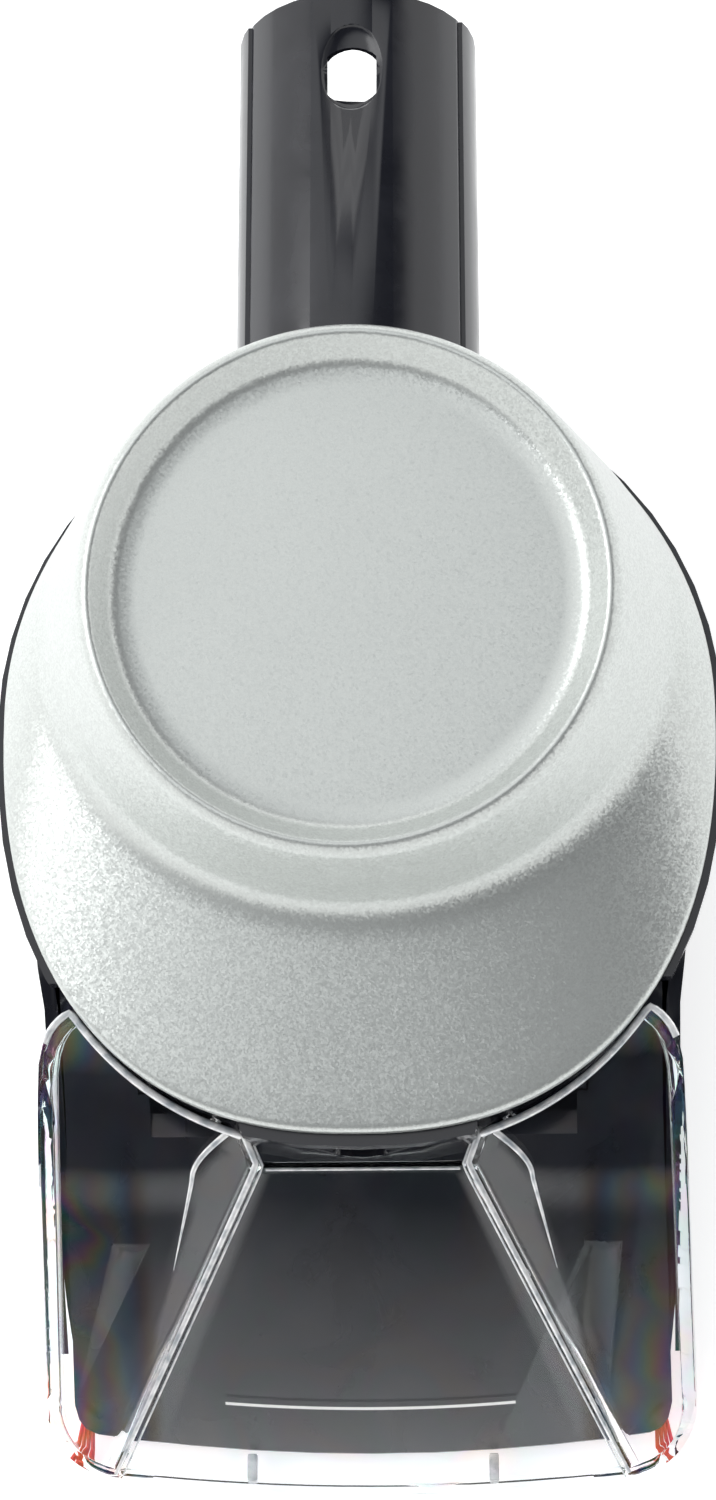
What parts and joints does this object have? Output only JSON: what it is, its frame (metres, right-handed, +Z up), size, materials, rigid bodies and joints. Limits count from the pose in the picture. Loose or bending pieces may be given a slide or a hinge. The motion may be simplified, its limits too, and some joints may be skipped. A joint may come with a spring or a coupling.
{
  "type": "carpet cleaning hose tool",
  "caption": "Hand tool for a portable carpet cleaner's hose: black body with hose collar, silver dirty-water tank that lifts off, and a clear fan-shaped suction nozzle.",
  "frame": {"origin": "on the table, centre of the box round the tool, under the widest line of the tank", "axes": "+Z up, +Y along the hose collar towards its mouth, +X to the right when looking along +Y"},
  "size_m": [0.1166, 0.239, 0.0839],
  "materials": {
    "black_abs": "glossy",
    "silver_abs": "satin",
    "clear_styrene": "glossy",
    "rubber": "matte",
    "tube_silicone": "satin",
    "red_nylon": "satin",
    "screw_steel": "satin"
  },
  "bodies": {
    "body": {"body_lower_shell": "black_abs", "body_upper_shell": "black_abs", "suction_duct_left": "black_abs", "suction_duct_right": "black_abs", "outlet_duct": "black_abs", "splash_cap": "black_abs", "solution_nipple": "black_abs", "spray_tip": "black_abs", "nozzle_side_seal_left": "rubber", "nozzle_side_seal_right": "rubber", "suction_duct_seal_left": "rubber", "suction_duct_seal_right": "rubber", "outlet_duct_seal": "rubber", "collar_seal": "rubber", "solution_nipple_o_ring": "rubber", "spray_tip_seal": "rubber", "body_screw_1": "screw_steel", "body_screw_2": "screw_steel", "body_screw_3": "screw_steel", "body_screw_4": "screw_steel", "body_screw_5": "screw_steel", "body_screw_6": "screw_steel", "nozzle_cover": "clear_styrene", "solution_tube": "tube_silicone", "brush_strip": "red_nylon"},
    "tank": {"tank_bowl": "silver_abs", "tank_rim_seal": "rubber"}
  },
  "joints": [
    {"name": "tank_lift", "type": "slide", "parent": "body", "child": "tank", "axis": [0, 0, 1], "range_m": [0, 0.04]}
  ]
}
